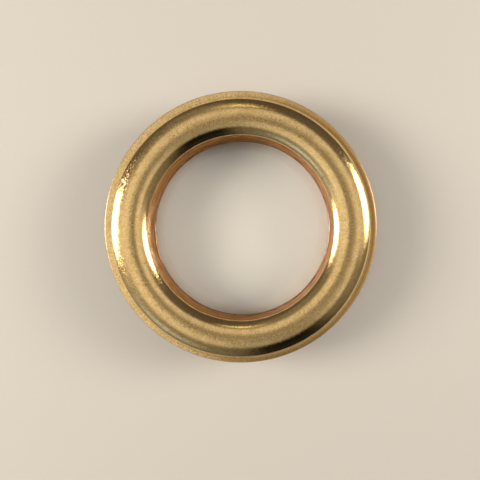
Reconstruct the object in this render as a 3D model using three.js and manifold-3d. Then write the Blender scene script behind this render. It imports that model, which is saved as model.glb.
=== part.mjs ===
// A supplementary portrait lens: a weak meniscus in a shallow brass mount that pushes into a lens hood.
// Millimetres, +Z up. The origin is on the optical axis, at the foot of the barrel, on which the mount stands
// with its domed front upwards.
import * as THREE from "three";
import { mergeVertices } from "three/addons/utils/BufferGeometryUtils.js";
import Module from "manifold-3d";

const wasm = await Module();
wasm.setup();

// ---- driving dimensions ---------------------------------------------------------------------------------

const BORE_RADIUS = 23.6;
const RING_SEGMENTS = 64;

// stop flange: its outer edge is not quite concentric with the bore
const FLANGE_RADIUS = 35;
const FLANGE_TOP = 11.5;
const FLANGE_THICKNESS = 0.8;
const FLANGE_EDGE = 0.2;
const FLANGE_OFFSET_X = -0.48;
const FLANGE_OFFSET_Y = 0.34;

// domed bezel: a thin shell with a wide crown between two tight corners, a little off centre at foot and lip
const CREST_RADIUS = 28.4;
const CREST_HEIGHT = 14;
const DOME_FOOT_RADIUS = 33;
const OUTER_CROWN = 9;
const INNER_CROWN = 7;
const OUTER_CORNER = 0.8;
const INNER_CORNER = 0.9;
const SHELL = 0.7;
const BEZEL_GAP = 0.1;
const FOOT_LEAN = 0.48;
const LEAN_ANGLE = 152;
const CROWN_STEPS = 4;
const CORNER_STEPS = 3;
const HOLLOW_STEPS = 2;

// barrel: stepped tube, with the glass held in its wider lower half
const BARREL_RADIUS = 26.8;
const BARREL_TOP = 11.2;
const BARREL_CHAMFER = 0.3;
const CELL_RADIUS = 25.2;
const SEAT_HEIGHT = 5.5;
const BARREL_CLEARANCE = 0.1;

// glass and what holds it
const GASKET_THICKNESS = 0.35;
const GASKET_INSET = 0.1;
const GLASS_RADIUS = 24.9;
const GLASS_RIM_TOP = 4.92;
const GLASS_RIM_THICKNESS = 1.5;
const FRONT_CURVE_RADIUS = 150;
const REAR_CURVE_RADIUS = 300;
const GLASS_STEPS = 4;
const WASHER_THICKNESS = 0.25;
const WASHER_WAVE = 0.12;
const WASHER_WAVES = 4;
const WASHER_MIDDLE = 3.15;
const RETAINER_TOP = 2.8;
const RETAINER_BOTTOM = 1.4;
const RETAINER_RADIUS = 25.12;
const NOTCH_WIDTH = 2;
const NOTCH_DEPTH = 0.7;

// backing ring in the hollow of the dome, and the screws that hold the flange to it
const BACKING_INNER_RADIUS = 29.4;
const BACKING_OUTER_RADIUS = 31.65;
const BACKING_SHOULDER_RADIUS = 30.8;
const BACKING_BOTTOM = 11.6;
const BACKING_SHOULDER = 11.95;
const BACKING_TOP = 12.6;
const FLANGE_SCREWS = 4;
const FLANGE_SCREW_FIRST_ANGLE = 45;
const FLANGE_SCREW_CIRCLE = 30.55;
const FLANGE_SCREW_SHANK = 0.7;
const FLANGE_SCREW_HEAD = 1.3;
const FLANGE_SCREW_HEAD_HEIGHT = 0.6;
const FLANGE_SCREW_TIP = 12.5;
const SCREW_CLEARANCE = 0.1;
const SINK_OVERCUT = 0.01;

// felt washer under the flange
const FELT_INNER_RADIUS = 27;
const FELT_OUTER_RADIUS = 29.1;
const FELT_THICKNESS = 0.8;

// leaf springs around the barrel, each turning by a few degrees about its own pair of screws
const SPRINGS = 3;
const SPRING_FIRST_ANGLE = 100;
const SPRING_LOW = 2;
const SPRING_HIGH = 7.8;
const SPRING_PAD_RADIUS = 27.3;
const SPRING_BULGE = 1.35;
const SPRING_TIP_CURL = 0.45;
const SPRING_TIP_SHARE = 0.15;
const SPRING_THICKNESS = 0.4;
const SPRING_TAIL_ANGLE = 4;
const SPRING_ARM_ANGLE = 46;
const SPRING_ARM_STEPS = 12;
const SPRING_HOLE = 0.85;
const SPRING_SCREW_HEIGHTS = [3.4, 6.4];
const SPRING_SCREW_SHANK = 0.55;
const SPRING_SCREW_HEAD = 1.2;
const SPRING_SCREW_HEAD_HEIGHT = 0.45;
const SPRING_SCREW_HEAD_SEAT = 27.65;
const SPRING_SCREW_DEPTH = 1.1;
const SPRING_SCREW_SLOT_TURNS = [84, 144];

// screw heads: a round head has a straight wall and a shoulder, each a share of the head's size
const DOME_WALL_SHARE = 0.5;
const DOME_SHOULDER_RADIUS_SHARE = 0.75;
const DOME_SHOULDER_HEIGHT_SHARE = 0.875;
const SCREW_SEGMENTS = 12;
const SLOT_WIDTH = 0.35;
const SLOT_DEPTH = 0.2;

// how far a cutting tool reaches past what it cuts
const OVERRUN = 1;

// ---- materials ------------------------------------------------------------------------------------------

const satinBrass = new THREE.MeshStandardMaterial({ color: 0xb59a55, roughness: 0.32, metalness: 1 });
const turnedBrass = new THREE.MeshStandardMaterial({ color: 0xb58f52, roughness: 0.2, metalness: 1 });
const springBronze = new THREE.MeshStandardMaterial({ color: 0x9a6a3a, roughness: 0.35, metalness: 1 });
const screwSteel = new THREE.MeshStandardMaterial({ color: 0x8b8d90, roughness: 0.35, metalness: 1 });
const crownGlass = new THREE.MeshStandardMaterial({
  color: 0xdfeee8, roughness: 0.02, metalness: 0, transparent: true, opacity: 0.3,
});
const greenFelt = new THREE.MeshStandardMaterial({ color: 0x2c3a2c, roughness: 0.95, metalness: 0 });
const blackPaper = new THREE.MeshStandardMaterial({ color: 0x26221e, roughness: 0.9, metalness: 0 });

// ---- solids ---------------------------------------------------------------------------------------------

const radians = THREE.MathUtils.degToRad;

function toManifold(geometry) {
  const bare = geometry.clone();
  bare.deleteAttribute("normal");
  bare.deleteAttribute("uv");
  const merged = mergeVertices(bare, 1e-5);
  const mesh = new wasm.Mesh({
    numProp: 3,
    vertProperties: new Float32Array(merged.attributes.position.array),
    triVerts: new Uint32Array(merged.index.array),
  });
  return new wasm.Manifold(mesh);
}

function fromManifold(solid) {
  const mesh = solid.getMesh();
  const geometry = new THREE.BufferGeometry();
  geometry.setAttribute("position", new THREE.BufferAttribute(mesh.vertProperties, 3));
  geometry.setIndex(new THREE.BufferAttribute(mesh.triVerts, 1));
  return geometry;
}

// The first geometry with all the others cut out of it.
function cut(geometry, tools) {
  let solid = toManifold(geometry);
  for (const tool of tools) {
    solid = solid.subtract(toManifold(tool));
  }
  return fromManifold(solid);
}

// A solid of revolution about Z from [radius, height] points.
function turned(points, segments = RING_SEGMENTS) {
  const profile = points.map(([radius, height]) => new THREE.Vector2(radius, height));
  const geometry = new THREE.LatheGeometry(profile, segments);
  geometry.rotateX(Math.PI / 2);
  return geometry;
}

// A ring with a rectangular section: the outline runs so that its faces point outwards.
function ring(inner, outer, low, high) {
  return turned([[inner, low], [outer, low], [outer, high], [inner, high], [inner, low]]);
}

// Points on a circle about a [radius, height] centre, from one angle to another in degrees.
function arc([centreRadius, centreHeight], radius, from, to, steps) {
  const points = [];
  for (let i = 0; i <= steps; i += 1) {
    const angle = radians(from + ((to - from) * i) / steps);
    points.push([centreRadius + radius * Math.cos(angle), centreHeight + radius * Math.sin(angle)]);
  }
  return points;
}

// A round bar along +Z whose foot is at `low`.
function bar(radius, low, high, topRadius = radius) {
  const geometry = new THREE.CylinderGeometry(topRadius, radius, high - low, SCREW_SEGMENTS);
  geometry.rotateX(Math.PI / 2);
  geometry.translate(0, 0, (low + high) / 2);
  return geometry;
}

// Turns a geometry made along +Z so that +Z points away from the axis, at an angle and a height.
function radially(geometry, angle, height) {
  const placed = geometry.clone();
  placed.rotateY(Math.PI / 2);
  placed.rotateZ(radians(angle));
  placed.translate(0, 0, height);
  return placed;
}

// The angles of `count` equally spaced features.
function spacedAngles(count, first) {
  return Array.from({ length: count }, (_, i) => first + (360 * i) / count);
}

const flangeScrewAngles = spacedAngles(FLANGE_SCREWS, FLANGE_SCREW_FIRST_ANGLE);
const springAngles = spacedAngles(SPRINGS, SPRING_FIRST_ANGLE);

function atFlangeScrew(geometry, angle) {
  const placed = geometry.clone();
  const turn = radians(angle);
  placed.translate(FLANGE_SCREW_CIRCLE * Math.cos(turn), FLANGE_SCREW_CIRCLE * Math.sin(turn), 0);
  return placed;
}

// ---- pieces ---------------------------------------------------------------------------------------------

// One side of the dome's section, from its crest to its upright edge, all offset inwards by `shrink`.
// `side` is 1 for the side towards the flange and -1 for the side towards the bore.
function halfCrown(side, edgeRadius, crownRadius, cornerRadius, shrink, crownSteps, cornerSteps) {
  const span = crownRadius - cornerRadius;
  const turn = Math.asin((Math.abs(edgeRadius - CREST_RADIUS) - cornerRadius) / span);
  const centre = [CREST_RADIUS, CREST_HEIGHT - crownRadius];
  const corner = [centre[0] + side * span * Math.sin(turn), centre[1] + span * Math.cos(turn)];
  const bend = 90 - side * THREE.MathUtils.radToDeg(turn);
  return [
    ...arc(centre, crownRadius - shrink, 90, bend, crownSteps),
    ...arc(corner, cornerRadius - shrink, bend, 90 - side * 90, cornerSteps).slice(1),
  ];
}

// The dome's section from foot to lip.
function crown(shrink, crownSteps, cornerSteps) {
  const outer = halfCrown(1, DOME_FOOT_RADIUS, OUTER_CROWN, OUTER_CORNER, shrink, crownSteps, cornerSteps);
  const inner = halfCrown(-1, BORE_RADIUS, INNER_CROWN, INNER_CORNER, shrink, crownSteps, cornerSteps);
  return [...outer.reverse(), ...inner.slice(1)];
}

// Shifts a ring's points off centre, by nothing at the crest and by the whole lean at the foot of the dome.
function leaning(geometry) {
  const position = geometry.attributes.position;
  for (let i = 0; i < position.count; i += 1) {
    const radius = Math.hypot(position.getX(i), position.getY(i));
    const share = Math.max((radius - CREST_RADIUS) / (DOME_FOOT_RADIUS - CREST_RADIUS), 0);
    const shift = FOOT_LEAN * share;
    position.setX(i, position.getX(i) + shift * Math.cos(radians(LEAN_ANGLE)));
    position.setY(i, position.getY(i) + shift * Math.sin(radians(LEAN_ANGLE)));
  }
  return geometry;
}

function domedBezel() {
  const skirt = BARREL_TOP + BEZEL_GAP;
  const outside = [
    [DOME_FOOT_RADIUS, FLANGE_TOP],
    ...crown(0, CROWN_STEPS, CORNER_STEPS),
    [BORE_RADIUS, skirt],
  ];
  const inside = [
    [BORE_RADIUS + SHELL, skirt],
    ...crown(SHELL, HOLLOW_STEPS, HOLLOW_STEPS).reverse(),
    [DOME_FOOT_RADIUS - SHELL, FLANGE_TOP],
  ];
  return leaning(turned([...outside, ...inside, outside[0]]));
}

function stopFlange() {
  const bottom = FLANGE_TOP - FLANGE_THICKNESS;
  const plate = turned([
    [0, bottom],
    [FLANGE_RADIUS - FLANGE_EDGE, bottom],
    [FLANGE_RADIUS, bottom + FLANGE_EDGE],
    [FLANGE_RADIUS, FLANGE_TOP - FLANGE_EDGE],
    [FLANGE_RADIUS - FLANGE_EDGE, FLANGE_TOP],
    [0, FLANGE_TOP],
  ]);
  plate.translate(FLANGE_OFFSET_X, FLANGE_OFFSET_Y, 0);
  const hole = turned([
    [0, bottom - OVERRUN],
    [BARREL_RADIUS + BARREL_CLEARANCE, bottom - OVERRUN],
    [BARREL_RADIUS + BARREL_CLEARANCE, FLANGE_TOP + OVERRUN],
    [0, FLANGE_TOP + OVERRUN],
  ]);
  const screwHole = bar(FLANGE_SCREW_SHANK + SCREW_CLEARANCE, bottom - OVERRUN, FLANGE_TOP + OVERRUN);
  const sinkHeight = FLANGE_SCREW_HEAD_HEIGHT + SCREW_CLEARANCE;
  const sink = bar(FLANGE_SCREW_HEAD + SCREW_CLEARANCE, bottom, bottom + sinkHeight, FLANGE_SCREW_SHANK);
  sink.translate(0, 0, -SINK_OVERCUT);
  const cuts = flangeScrewAngles.flatMap((angle) => {
    return [atFlangeScrew(screwHole, angle), atFlangeScrew(sink, angle)];
  });
  return cut(plate, [hole, ...cuts]);
}

function lensBarrel() {
  const tube = turned([
    [CELL_RADIUS, 0],
    [BARREL_RADIUS - BARREL_CHAMFER, 0],
    [BARREL_RADIUS, BARREL_CHAMFER],
    [BARREL_RADIUS, BARREL_TOP],
    [BORE_RADIUS, BARREL_TOP],
    [BORE_RADIUS, SEAT_HEIGHT],
    [CELL_RADIUS, SEAT_HEIGHT],
    [CELL_RADIUS, 0],
  ]);
  const radius = SPRING_SCREW_SHANK + SCREW_CLEARANCE;
  const floor = BARREL_RADIUS - SPRING_SCREW_DEPTH - SCREW_CLEARANCE;
  const hole = bar(radius, floor, BARREL_RADIUS + OVERRUN);
  const holes = springAngles.flatMap((angle) => SPRING_SCREW_HEIGHTS.map((z) => radially(hole, angle, z)));
  return cut(tube, holes);
}

function portraitLens() {
  const sag = (curve, radius) => curve - Math.sqrt(curve ** 2 - radius ** 2);
  const frontSag = sag(FRONT_CURVE_RADIUS, GLASS_RADIUS);
  const rearSag = sag(REAR_CURVE_RADIUS, GLASS_RADIUS);
  const front = [];
  const rear = [];
  for (let i = 0; i <= GLASS_STEPS; i += 1) {
    const radius = (GLASS_RADIUS * i) / GLASS_STEPS;
    front.unshift([radius, GLASS_RIM_TOP + frontSag - sag(FRONT_CURVE_RADIUS, radius)]);
    rear.push([radius, GLASS_RIM_TOP - GLASS_RIM_THICKNESS + rearSag - sag(REAR_CURVE_RADIUS, radius)]);
  }
  return turned([...rear, ...front]);
}

function seatGasket() {
  const low = SEAT_HEIGHT - GASKET_THICKNESS;
  return ring(BORE_RADIUS + GASKET_INSET, CELL_RADIUS - GASKET_INSET, low, SEAT_HEIGHT);
}

function waveWasher() {
  const half = WASHER_THICKNESS / 2;
  const washer = ring(
    BORE_RADIUS + GASKET_INSET,
    GLASS_RADIUS,
    WASHER_MIDDLE - half,
    WASHER_MIDDLE + half,
  );
  const position = washer.attributes.position;
  for (let i = 0; i < position.count; i += 1) {
    const angle = Math.atan2(position.getY(i), position.getX(i));
    position.setZ(i, position.getZ(i) + WASHER_WAVE * Math.cos(WASHER_WAVES * angle));
  }
  return washer;
}

function retainingRing() {
  const body = ring(BORE_RADIUS, RETAINER_RADIUS, RETAINER_BOTTOM, RETAINER_TOP);
  const notch = new THREE.BoxGeometry(3 * BORE_RADIUS, NOTCH_WIDTH, 2 * NOTCH_DEPTH);
  notch.translate(0, 0, RETAINER_BOTTOM);
  return cut(body, [notch]);
}

function backingRing() {
  const body = turned([
    [BACKING_INNER_RADIUS, BACKING_BOTTOM],
    [BACKING_OUTER_RADIUS, BACKING_BOTTOM],
    [BACKING_OUTER_RADIUS, BACKING_SHOULDER],
    [BACKING_SHOULDER_RADIUS, BACKING_TOP],
    [BACKING_INNER_RADIUS, BACKING_TOP],
    [BACKING_INNER_RADIUS, BACKING_BOTTOM],
  ]);
  const hole = bar(FLANGE_SCREW_SHANK + SCREW_CLEARANCE, BACKING_BOTTOM - OVERRUN, BACKING_TOP + OVERRUN);
  return cut(body, flangeScrewAngles.map((angle) => atFlangeScrew(hole, angle)));
}

function flangeScrew(angle) {
  const low = FLANGE_TOP - FLANGE_THICKNESS;
  const neck = low + FLANGE_SCREW_HEAD_HEIGHT;
  const body = turned([
    [0, low],
    [FLANGE_SCREW_HEAD, low],
    [FLANGE_SCREW_SHANK, neck],
    [FLANGE_SCREW_SHANK, FLANGE_SCREW_TIP],
    [0, FLANGE_SCREW_TIP],
  ], SCREW_SEGMENTS);
  const slot = new THREE.BoxGeometry(3 * FLANGE_SCREW_HEAD, SLOT_WIDTH, 2 * SLOT_DEPTH);
  slot.rotateZ(radians(angle));
  slot.translate(0, 0, low);
  return atFlangeScrew(cut(body, [slot]), angle);
}

function feltWasher() {
  const top = FLANGE_TOP - FLANGE_THICKNESS;
  return ring(FELT_INNER_RADIUS, FELT_OUTER_RADIUS, top - FELT_THICKNESS, top);
}

// The spring's radius at an angle past its screws: it leaves the barrel smoothly, and its tip curls back in.
function springRadius(angle) {
  const along = Math.max(angle, 0) / SPRING_ARM_ANGLE;
  const tip = 1 - SPRING_TIP_SHARE;
  const bulge = SPRING_BULGE * (1 - Math.cos(Math.PI * Math.min(along / tip, 1))) / 2;
  const curl = SPRING_TIP_CURL * Math.max((along - tip) / SPRING_TIP_SHARE, 0) ** 2;
  return SPRING_PAD_RADIUS + bulge - curl;
}

function gripSpring(angle) {
  const steps = SPRING_ARM_STEPS + 2;
  const span = SPRING_ARM_ANGLE + SPRING_TAIL_ANGLE;
  const line = (side) => Array.from({ length: steps + 1 }, (_, i) => {
    const local = -SPRING_TAIL_ANGLE + (span * i) / steps;
    const radius = springRadius(local) + (side * SPRING_THICKNESS) / 2;
    return new THREE.Vector2(radius * Math.cos(radians(local)), radius * Math.sin(radians(local)));
  });
  const shape = new THREE.Shape([...line(1), ...line(-1).reverse()]);
  const strip = new THREE.ExtrudeGeometry(shape, { depth: SPRING_HIGH - SPRING_LOW, bevelEnabled: false });
  strip.translate(0, 0, SPRING_LOW);
  const hole = bar(SPRING_HOLE, SPRING_PAD_RADIUS - OVERRUN, SPRING_PAD_RADIUS + OVERRUN);
  const spring = cut(strip, SPRING_SCREW_HEIGHTS.map((z) => radially(hole, 0, z)));
  spring.rotateZ(radians(angle));
  return spring;
}

function springScrew(angle, height, slotTurn) {
  const tip = BARREL_RADIUS - SPRING_SCREW_DEPTH;
  const seat = SPRING_SCREW_HEAD_SEAT;
  const top = seat + SPRING_SCREW_HEAD_HEIGHT;
  const wallTop = seat + SPRING_SCREW_HEAD_HEIGHT * DOME_WALL_SHARE;
  const shoulder = seat + SPRING_SCREW_HEAD_HEIGHT * DOME_SHOULDER_HEIGHT_SHARE;
  const body = turned([
    [0, tip],
    [SPRING_SCREW_SHANK, tip],
    [SPRING_SCREW_SHANK, seat],
    [SPRING_SCREW_HEAD, seat],
    [SPRING_SCREW_HEAD, wallTop],
    [SPRING_SCREW_HEAD * DOME_SHOULDER_RADIUS_SHARE, shoulder],
    [0, top],
  ], SCREW_SEGMENTS);
  const slot = new THREE.BoxGeometry(3 * SPRING_SCREW_HEAD, SLOT_WIDTH, 2 * SLOT_DEPTH);
  slot.rotateZ(radians(angle + slotTurn));
  slot.translate(0, 0, top);
  return radially(cut(body, [slot]), angle, height);
}

// ---- assembly -------------------------------------------------------------------------------------------

const lens = new THREE.Group();

function add(name, geometry, material) {
  const mesh = new THREE.Mesh(geometry, material);
  mesh.name = name;
  lens.add(mesh);
}

add("domed_bezel", domedBezel(), satinBrass);
add("stop_flange", stopFlange(), satinBrass);
add("lens_barrel", lensBarrel(), turnedBrass);
add("backing_ring", backingRing(), turnedBrass);
add("felt_washer", feltWasher(), greenFelt);
add("seat_gasket", seatGasket(), blackPaper);
add("portrait_lens", portraitLens(), crownGlass);
add("wave_washer", waveWasher(), springBronze);
add("retaining_ring", retainingRing(), turnedBrass);
flangeScrewAngles.forEach((angle, i) => {
  add(`flange_screw_${i + 1}`, flangeScrew(angle), screwSteel);
});
springAngles.forEach((angle, i) => {
  add(`grip_spring_${i + 1}`, gripSpring(angle), springBronze);
  SPRING_SCREW_HEIGHTS.forEach((height, j) => {
    add(`spring_screw_${2 * i + j + 1}`, springScrew(angle, height, SPRING_SCREW_SLOT_TURNS[j]), screwSteel);
  });
});

export default lens;
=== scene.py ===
"""The looks of a push-in portrait lens in a domed brass mount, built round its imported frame.

Lengths in this script are millimetres until a mesh is made, and angles are degrees. The Z axis is the optical
axis and points up. Azimuths are counted from +X towards +Y.
"""
import math
from types import SimpleNamespace

import bmesh
import bpy
from mathutils import Matrix, Vector, noise


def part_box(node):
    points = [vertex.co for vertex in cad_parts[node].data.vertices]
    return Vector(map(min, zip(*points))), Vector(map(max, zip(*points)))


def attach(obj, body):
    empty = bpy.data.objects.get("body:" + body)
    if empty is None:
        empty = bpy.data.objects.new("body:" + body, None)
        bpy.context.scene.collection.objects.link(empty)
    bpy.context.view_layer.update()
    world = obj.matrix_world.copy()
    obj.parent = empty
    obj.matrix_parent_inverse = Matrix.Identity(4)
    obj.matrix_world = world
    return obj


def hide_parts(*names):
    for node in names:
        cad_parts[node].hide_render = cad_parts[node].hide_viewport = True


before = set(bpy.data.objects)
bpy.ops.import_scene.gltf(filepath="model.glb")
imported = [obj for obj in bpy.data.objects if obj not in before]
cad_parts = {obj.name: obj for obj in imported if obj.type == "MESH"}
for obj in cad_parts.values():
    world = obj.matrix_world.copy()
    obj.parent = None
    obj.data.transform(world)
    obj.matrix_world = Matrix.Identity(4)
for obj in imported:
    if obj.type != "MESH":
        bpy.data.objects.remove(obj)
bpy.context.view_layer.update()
MM = 0.001


def node_box(node):
    """Lowest and highest corner of a CAD node, in millimetres."""
    low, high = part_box(node)
    return low / MM, high / MM


# ---- sizes read from the frame -----------------------------------------------------------------------------

FLANGE_LOW, FLANGE_HIGH = node_box("stop_flange")
BEZEL_LOW, BEZEL_HIGH = node_box("domed_bezel")
BARREL_HIGH = node_box("lens_barrel")[1]
FELT_LOW, FELT_HIGH = node_box("felt_washer")
RETAINER_LOW, RETAINER_HIGH = node_box("retaining_ring")
SPRING_LOW, SPRING_HIGH = node_box("grip_spring_1")

FLANGE_RADIUS = (FLANGE_HIGH.x - FLANGE_LOW.x) / 2
FLANGE_CENTRE = (FLANGE_LOW + FLANGE_HIGH) / 2
FLANGE_BOTTOM, FLANGE_TOP = FLANGE_LOW.z, FLANGE_HIGH.z
DOME_FOOT_RADIUS = (BEZEL_HIGH.x - BEZEL_LOW.x) / 2
CREST_HEIGHT = BEZEL_HIGH.z
BARREL_RADIUS = BARREL_HIGH.x
BARREL_TOP = BARREL_HIGH.z
RETAINER_RADIUS = RETAINER_HIGH.x
GLASS_RADIUS = node_box("portrait_lens")[1].x
SEAT_HEIGHT = node_box("seat_gasket")[1].z

# ---- sizes that the frame's boxes don't give ---------------------------------------------------------------

# the bezel: a wide crown between two tight corners, a little off centre at its foot and its lip
BORE_RADIUS = 23.6
CREST_RADIUS = 28.4
OUTER_CROWN = 9.0
INNER_CROWN = 7.0
OUTER_CORNER = 0.4
INNER_CORNER = 0.5
SHELL = 0.35
LEAN_ANGLE = 170
FOOT_LEAN = 0.48
LIP_LEAN = 0.42
FOOT_FLARE = [(0.46, 0.008), (0.28, 0.03), (0.18, 0.055), (0.09, 0.1), (0.04, 0.18), (0.01, 0.3)]
FOOT_GAP = 0.015
SKIRT_GAP = 0.02
# small waves round the spun shell: how far each goes in and out, and how many there are
SLOW_SWAY, SLOW_WAVES, SLOW_PHASE = 0.012, 3, 0.7
QUICK_SWAY, QUICK_WAVES = 0.008, 7

# the flange: outside a flat seat for the bezel, its face falls at the slope plus the lean at one azimuth, and
# at the slope minus the lean opposite. Below 0 it rises. Its edge is a bevel that falls at the bevel slope.
FLANGE_SLOPE = -3
FLANGE_LEAN = 5.5
FLANGE_LEAN_ANGLE = 160
FLANGE_BEVEL = 0.36
FLANGE_BEVEL_SLOPE = 11
FLANGE_UPPER_EDGE = 0.08
FLANGE_LOWER_EDGE = 0.22
FLANGE_INNER_EDGE = 0.05
FLANGE_SEAT = 0.4
FLANGE_SEAT_EDGE = 0.15
CLEARANCE = 0.1
FLANGE_HOLE = BARREL_RADIUS + CLEARANCE

# the barrel: its bore flares at the lip, and its cell is threaded
LIP_FLARE = 0.28
LIP_FLARE_DEPTH = 3.0
LIP_STEPS = 12
CELL_RADIUS = 25.2
CELL_EDGE = 0.02
BARREL_CHAMFER = 0.3
SEAT_EDGE = 0.05
SEAT_CORNER = 0.1
THREAD_PITCH = 0.75
THREAD_DEPTH = 0.16
THREAD_TOP = 3.1
THREAD_RUN_OUT = 0.3
THREAD_STEPS = 6

# the glass and the ring behind it
GLASS_RIM_TOP = 4.92
GLASS_RIM_BOTTOM = 3.42
FRONT_CURVE_RADIUS = 150
REAR_CURVE_RADIUS = 300
GROUND_WIDTH = 0.25
GROUND_BEVEL = 0.2
RETAINER_EDGE = 0.12
RETAINER_INNER_EDGE = 0.15
NOTCH_WIDTH = 2.0
NOTCH_DEPTH = 0.7

# the felt, with (frequency, height) of the unevenness in its surface
FELT_INNER_RADIUS = 27.0
FELT_INNER_EDGE = 0.2
FELT_OUTER_EDGE = 0.25
FELT_UPPER_EDGE = 0.1
FELT_LUMPS = [(1.7, 0.05), (5.0, 0.03)]

# the countersunk screws of the flange
FLANGE_SCREW_CIRCLE = 30.55
FLANGE_SCREW_ANGLES = [45, 135, 225, 315]
FLANGE_SCREW_HEAD = 1.3
FLANGE_SCREW_HEAD_HEIGHT = 0.6
FLANGE_SCREW_SHANK = 0.7
FLANGE_SCREW_LENGTH = 1.8
FLANGE_SCREW_SINK = 0.02
FLANGE_SCREW_CHAMFER = 0.12
FLANGE_SCREW_CHAMFER_END = 0.08
FLANGE_SLOT = (3.0, 0.35, 0.4)
FLANGE_SLOT_FIRST_ANGLE = 17
FLANGE_SLOT_STEP = 55
COUNTERSINK_DEPTH = 0.65

# the leaf springs
SPRING_ANGLES = [100, 220, 340]
SPRING_PAD_RADIUS = 27.3
SPRING_BULGE = 1.35
SPRING_TIP_CURL = 0.45
SPRING_TIP_SHARE = 0.15
SPRING_THICKNESS = 0.4
SPRING_TAIL_ANGLE = 4
SPRING_ARM_ANGLE = 46
SPRING_CORNER = 1.6
SPRING_CORNER_END = 0.999
SPRING_EDGE = 0.07
SPRING_EDGE_ANGLE = 50
SPRING_HOLE = 0.85
SPRING_HOLE_START, SPRING_HOLE_END = 26, 29

# the round-head screws of the springs
SPRING_SCREW_HEIGHTS = [3.4, 6.4]
SPRING_SCREW_SEAT = 27.65
SPRING_SCREW_HEAD = 1.2
SPRING_SCREW_HEAD_HEIGHT = 0.45
SPRING_SCREW_HEAD_SIDE = 0.15
SPRING_SCREW_CHAMFER = 0.04
SPRING_SCREW_SHANK = 0.55
SPRING_SCREW_TIP = 25.7
SPRING_SLOT = (3.0, 0.32, 0.5)
SPRING_SLOT_STEP = 31

# how finely the meshes are made, and how far apart points are taken to be the same
RING_STEPS = 256
BRASS_STEPS = 320
FELT_STEPS = 512
GLASS_STEPS = 192
GLASS_ROWS = 32
CORNER_STEPS = 12
FILLET_STEPS = 4
FLANGE_FILLET_STEPS = 5
FELT_FILLET_STEPS = 6
SCREW_DOME_STEPS = 8
SPRING_EDGE_STEPS = 2
SCREW_STEPS = 48
HOLE_STEPS = 32
SPRING_COLUMNS, SPRING_ROWS = 72, 14
SHARP_ANGLE = 35
THREAD_SHARP_ANGLE = 40
NOTHING_SHARP = 180
MERGE_DISTANCE = 0.0005
SAME_RADIUS = 0.001
OVERCUT = 1


# ---- mesh helpers ------------------------------------------------------------------------------------------

def finished(name, vertices, faces, material, sharp=SHARP_ANGLE):
    """A smooth-shaded object from vertices in millimetres, with edges sharper than an angle kept sharp."""
    mesh = bpy.data.meshes.new(name)
    mesh.from_pydata([Vector(v) * MM for v in vertices], [], faces)
    piece = bpy.data.objects.new(name, mesh)
    bpy.context.collection.objects.link(piece)
    bm = bmesh.new()
    bm.from_mesh(mesh)
    bmesh.ops.remove_doubles(bm, verts=bm.verts, dist=MERGE_DISTANCE * MM)
    bmesh.ops.recalc_face_normals(bm, faces=bm.faces)
    bm.to_mesh(mesh)
    bm.free()
    mesh.materials.append(material)
    smooth(piece, sharp)
    return piece


def smooth(piece, sharp=SHARP_ANGLE):
    """Shades a piece smooth, apart from edges sharper than an angle."""
    piece.data.shade_smooth()
    piece.data.set_sharp_from_angle(angle=math.radians(sharp))


def on_ring(radius, height, turn):
    """The point at a radius, a height and an angle in radians."""
    return (radius * math.cos(turn), radius * math.sin(turn), height)


def arc(centre, width, height, start, end, steps):
    """Points on an ellipse about a (radius, height) centre, from one angle to another."""
    points = []
    for i in range(steps + 1):
        turn = math.radians(start + (end - start) * i / steps)
        points.append((centre[0] + width * math.cos(turn), centre[1] + height * math.sin(turn)))
    return points


def rounded(corners, steps=FILLET_STEPS):
    """A closed outline from (radius, height, fillet) corners, each rounded by its own fillet."""
    outline = []
    count = len(corners)
    for i, (x, y, fillet) in enumerate(corners):
        if fillet == 0:
            outline.append((x, y))
            continue
        here = Vector((x, y))
        before = (Vector(corners[i - 1][:2]) - here).normalized()
        after = (Vector(corners[(i + 1) % count][:2]) - here).normalized()
        start = here + before * fillet
        end = here + after * fillet
        for k in range(steps + 1):
            t = k / steps
            point = start * (1 - t) ** 2 + here * 2 * t * (1 - t) + end * t ** 2
            outline.append((point.x, point.y))
    return outline


def revolved(name, outline, material, steps=RING_STEPS, shape=on_ring, sharp=SHARP_ANGLE):
    """A closed outline turned about the Z axis. shape(radius, height, turn) gives each point.

    An outline may start and end on the axis, where its points are merged.
    """
    vertices = []
    for i in range(steps):
        turn = 2 * math.pi * i / steps
        vertices += [shape(radius, height, turn) for radius, height in outline]
    count = len(outline)
    faces = []
    for i in range(steps):
        here, there = i * count, ((i + 1) % steps) * count
        for k in range(count):
            after = (k + 1) % count
            faces.append((here + k, there + k, there + after, here + after))
    return finished(name, vertices, faces, material, sharp)


def subtract(piece, cutters):
    """Cuts the cutters out of the piece and deletes them."""
    for cutter in cutters:
        modifier = piece.modifiers.new("cut", "BOOLEAN")
        modifier.operation = "DIFFERENCE"
        modifier.solver = "EXACT"
        modifier.object = cutter
    graph = bpy.context.evaluated_depsgraph_get()
    mesh = bpy.data.meshes.new_from_object(piece.evaluated_get(graph))
    piece.modifiers.clear()
    piece.data = mesh
    smooth(piece)
    for cutter in cutters:
        bpy.data.objects.remove(cutter)


def block(size, centre, angle=0):
    """A box for cutting, turned about an upright line through its centre."""
    bm = bmesh.new()
    place = Matrix.Rotation(math.radians(angle), 4, "Z")
    place.translation = Vector(centre) * MM
    bmesh.ops.create_cube(bm, size=1, matrix=place @ Matrix.Diagonal((*[s * MM for s in size], 1)))
    mesh = bpy.data.meshes.new("cutter")
    bm.to_mesh(mesh)
    bm.free()
    cutter = bpy.data.objects.new("cutter", mesh)
    bpy.context.collection.objects.link(cutter)
    return cutter


def moved(piece, matrix):
    """Moves the mesh itself by a matrix in millimetres, so that the object stays at the origin."""
    scale = Matrix.Diagonal((MM, MM, MM, 1))
    piece.data.transform(scale @ matrix @ scale.inverted())
    return piece


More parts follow.
